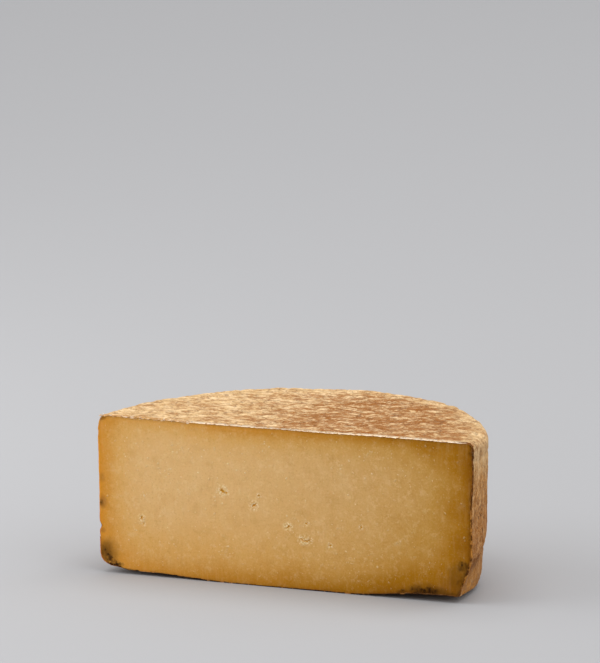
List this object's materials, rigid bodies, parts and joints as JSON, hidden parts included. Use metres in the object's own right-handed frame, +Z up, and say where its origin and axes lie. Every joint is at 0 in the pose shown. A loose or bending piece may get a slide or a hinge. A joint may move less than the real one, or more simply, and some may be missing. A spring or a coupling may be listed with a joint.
{
  "type": "clothbound cheddar half wheel",
  "caption": "Half wheel of cloth-wrapped aged cheddar on its base, with a flat upright cut face, a wrapped rind with pleated cloth edges and a slightly bowed base.",
  "frame": {"origin": "under the middle of the half, on the flat band of its base", "axes": "+Z up along the wheel's axis, +X along the cut to the right as seen from the front, +Y away from the cut face towards the round back; the cut face looks towards -Y"},
  "size_m": [0.3723, 0.1862, 0.1476],
  "materials": {
    "paste": "satin",
    "rind": "matte",
    "crystal": "matte"
  },
  "bodies": {
    "root": {"half_wheel": "paste"}
  },
  "joints": []
}
